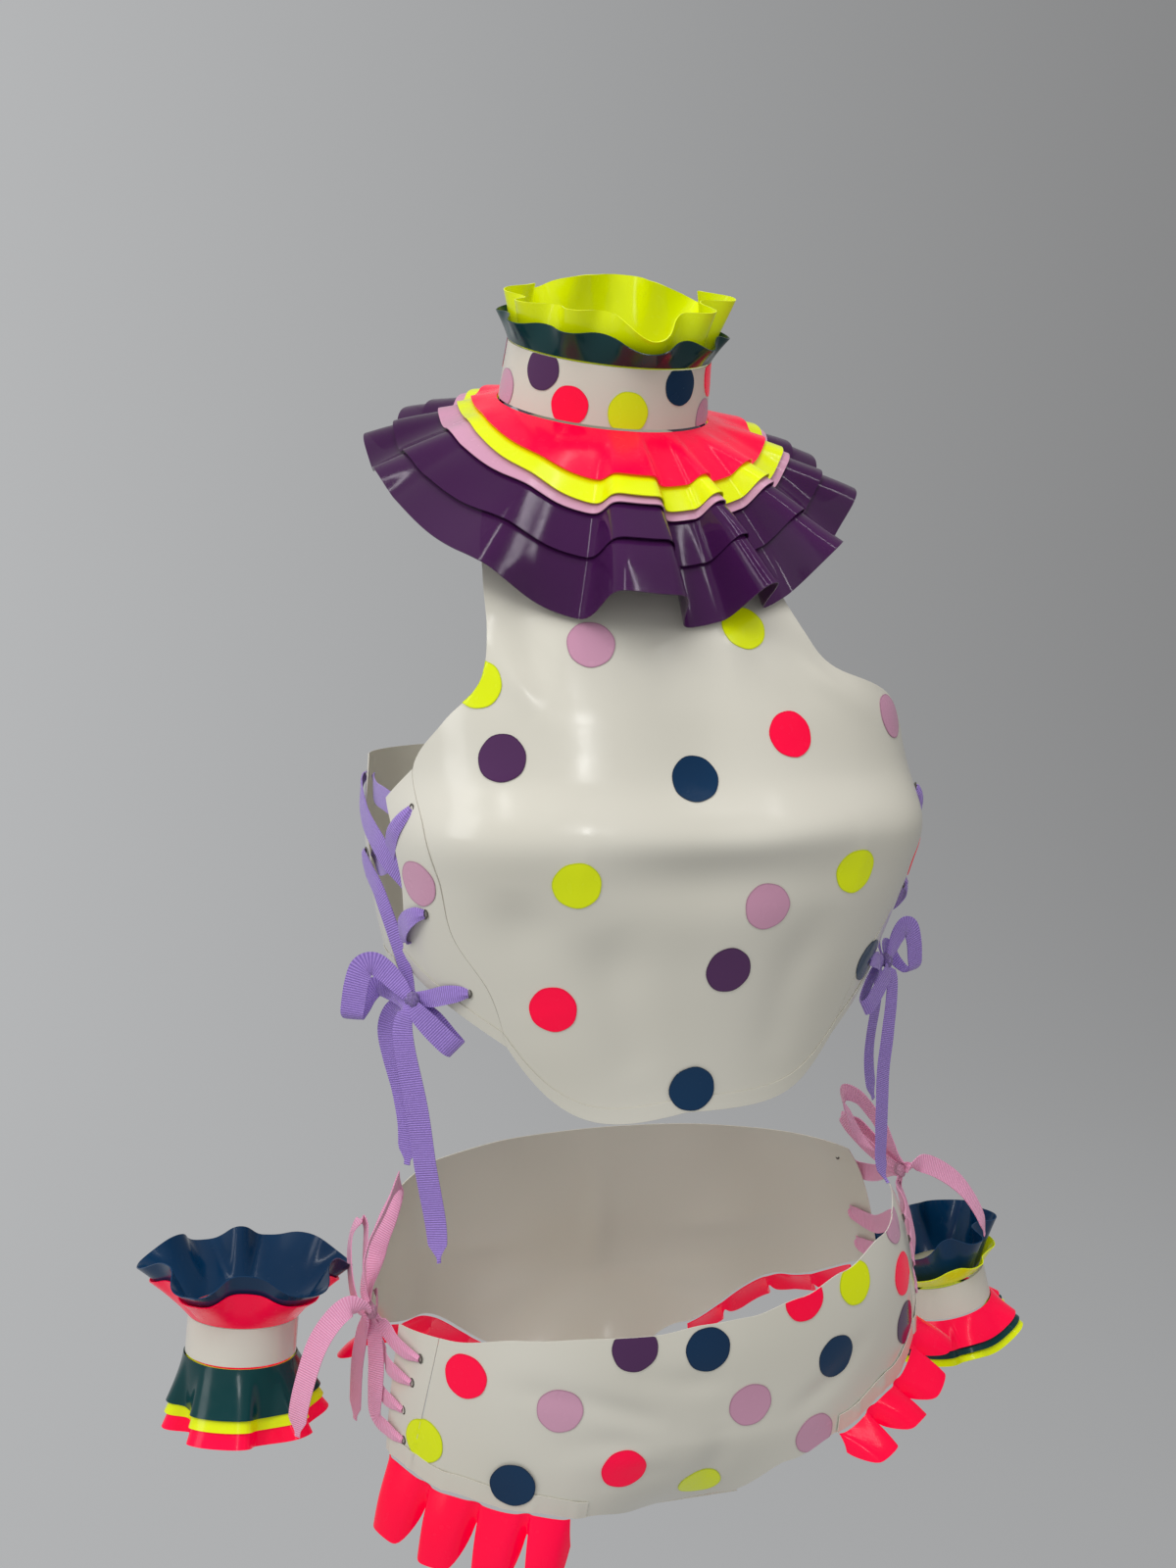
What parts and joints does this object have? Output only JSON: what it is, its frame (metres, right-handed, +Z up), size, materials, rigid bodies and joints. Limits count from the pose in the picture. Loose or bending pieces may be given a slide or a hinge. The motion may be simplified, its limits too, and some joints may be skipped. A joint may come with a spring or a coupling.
{
  "type": "clown costume",
  "caption": "Polka-dot latex clown costume: ruffled neck ruff, crop top and briefs laced with ribbon at the sides, leg ruffles and ruffled wrist cuffs.",
  "frame": {"origin": "middle of the neck ruff band's lower rim, where the wearer's neck carries the costume", "axes": "+Z up, -Y the front, +X the wearer's left"},
  "size_m": [0.5392, 0.2872, 0.7008],
  "materials": {
    "cream_latex": "glossy, slightly translucent sheet latex",
    "red_latex": "glossy sheet latex",
    "yellow_latex": "glossy neon sheet latex",
    "pale_pink_latex": "glossy translucent sheet latex",
    "purple_latex": "glossy dark translucent sheet latex",
    "teal_latex": "glossy sheet latex",
    "navy_latex": "glossy sheet latex",
    "lavender_ribbon": "ribbed grosgrain ribbon",
    "rose_ribbon": "ribbed grosgrain ribbon"
  },
  "bodies": {
    "root": {"briefs_back": "cream_latex", "briefs_front": "cream_latex", "briefs_gusset": "cream_latex", "briefs_ribbon_L_end_a": "rose_ribbon", "briefs_ribbon_L_end_b": "rose_ribbon", "briefs_ribbon_L_knot": "rose_ribbon", "briefs_ribbon_L_lace_a": "rose_ribbon", "briefs_ribbon_L_lace_b": "rose_ribbon", "briefs_ribbon_R_end_a": "rose_ribbon", "briefs_ribbon_R_end_b": "rose_ribbon", "briefs_ribbon_R_knot": "rose_ribbon", "briefs_ribbon_R_lace_a": "rose_ribbon", "briefs_ribbon_R_lace_b": "rose_ribbon", "briefs_side_L": "cream_latex", "briefs_side_R": "cream_latex", "collar_band": "cream_latex", "collar_pink": "pale_pink_latex", "collar_purple_long": "purple_latex", "collar_purple_mid": "purple_latex", "collar_red": "red_latex", "collar_up_teal": "teal_latex", "collar_up_yellow": "yellow_latex", "collar_yellow": "yellow_latex", "cuff_L_band": "cream_latex", "cuff_L_low_red": "red_latex", "cuff_L_low_teal": "teal_latex", "cuff_L_low_yellow": "yellow_latex", "cuff_L_up_navy": "navy_latex", "cuff_L_up_yellow": "yellow_latex", "cuff_R_band": "cream_latex", "cuff_R_low_red": "red_latex", "cuff_R_low_teal": "teal_latex", "cuff_R_low_yellow": "yellow_latex", "cuff_R_up_navy": "navy_latex", "cuff_R_up_red": "red_latex", "leg_ruffle_back_L": "red_latex", "leg_ruffle_back_R": "red_latex", "leg_ruffle_front_L": "red_latex", "leg_ruffle_front_R": "red_latex", "top_back": "cream_latex", "top_front": "cream_latex", "top_neckband": "cream_latex", "top_ribbon_L_end_a": "lavender_ribbon", "top_ribbon_L_end_b": "lavender_ribbon", "top_ribbon_L_knot": "lavender_ribbon", "top_ribbon_L_lace_a": "lavender_ribbon", "top_ribbon_L_lace_b": "lavender_ribbon", "top_ribbon_R_end_a": "lavender_ribbon", "top_ribbon_R_end_b": "lavender_ribbon", "top_ribbon_R_knot": "lavender_ribbon", "top_ribbon_R_lace_a": "lavender_ribbon", "top_ribbon_R_lace_b": "lavender_ribbon", "top_side_L": "cream_latex", "top_side_R": "cream_latex"}
  },
  "joints": []
}
